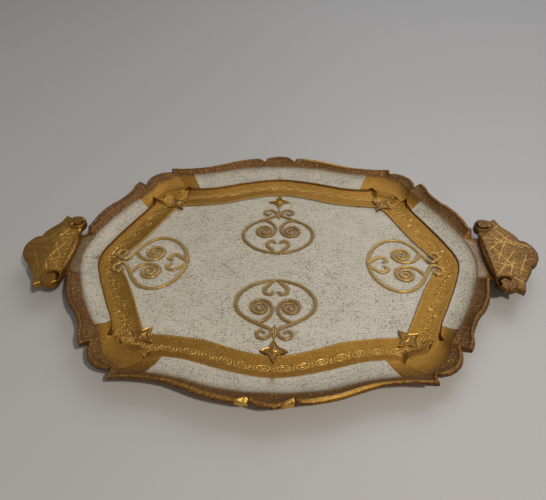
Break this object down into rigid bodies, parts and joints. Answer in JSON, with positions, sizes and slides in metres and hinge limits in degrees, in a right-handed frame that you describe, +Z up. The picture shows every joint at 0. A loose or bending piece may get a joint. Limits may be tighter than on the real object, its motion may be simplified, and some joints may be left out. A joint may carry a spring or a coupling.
{
  "type": "serving tray",
  "caption": "Serpentine oval serving tray with a raised carved gilt rim, cream coved sides, scroll ornaments on a flat cream floor, and a scalloped lug handle at each end.",
  "frame": {"origin": "centre of the tray on the surface it stands on", "axes": "+X along the length from handle to handle, +Y across to the back edge, +Z up"},
  "size_m": [0.58, 0.4, 0.0296],
  "materials": {
    "cream_panel": "plywood panel, cream paint over gesso, rubbed back with dark specks and a satin varnish",
    "painted_rail": "carved wood rail with gesso, gold leaf over red bole on rim and band, antiqued cream paint in the cove",
    "gilt_gesso": "gold leaf over red-brown bole on moulded gesso, rubbed and toned",
    "beech": "bare sanded beech",
    "pin_steel": "plain drawn steel pin"
  },
  "bodies": {
    "root": {"floor_panel": "cream_panel", "rail_front_left": "painted_rail", "rail_front_right": "painted_rail", "rail_back_left": "painted_rail", "rail_back_right": "painted_rail", "rail_left_front": "painted_rail", "rail_left_back": "painted_rail", "rail_right_front": "painted_rail", "rail_right_back": "painted_rail", "handle_left": "gilt_gesso", "handle_right": "gilt_gesso", "scroll_front": "gilt_gesso", "scroll_back": "gilt_gesso", "scroll_left": "gilt_gesso", "scroll_right": "gilt_gesso", "fleur_front": "gilt_gesso", "fleur_back": "gilt_gesso", "star_front_left": "gilt_gesso", "star_front_right": "gilt_gesso", "star_back_left": "gilt_gesso", "star_back_right": "gilt_gesso", "tongue_front": "beech", "tongue_back": "beech", "tongue_left": "beech", "tongue_right": "beech", "tongue_front_left": "beech", "tongue_front_right": "beech", "tongue_back_left": "beech", "tongue_back_right": "beech", "dowel_left_front": "beech", "dowel_left_back": "beech", "dowel_right_front": "beech", "dowel_right_back": "beech", "pin_front_left_long": "pin_steel", "pin_front_left_end": "pin_steel", "pin_front_right_long": "pin_steel", "pin_front_right_end": "pin_steel", "pin_back_left_long": "pin_steel", "pin_back_left_end": "pin_steel", "pin_back_right_long": "pin_steel", "pin_back_right_end": "pin_steel"}
  },
  "joints": []
}
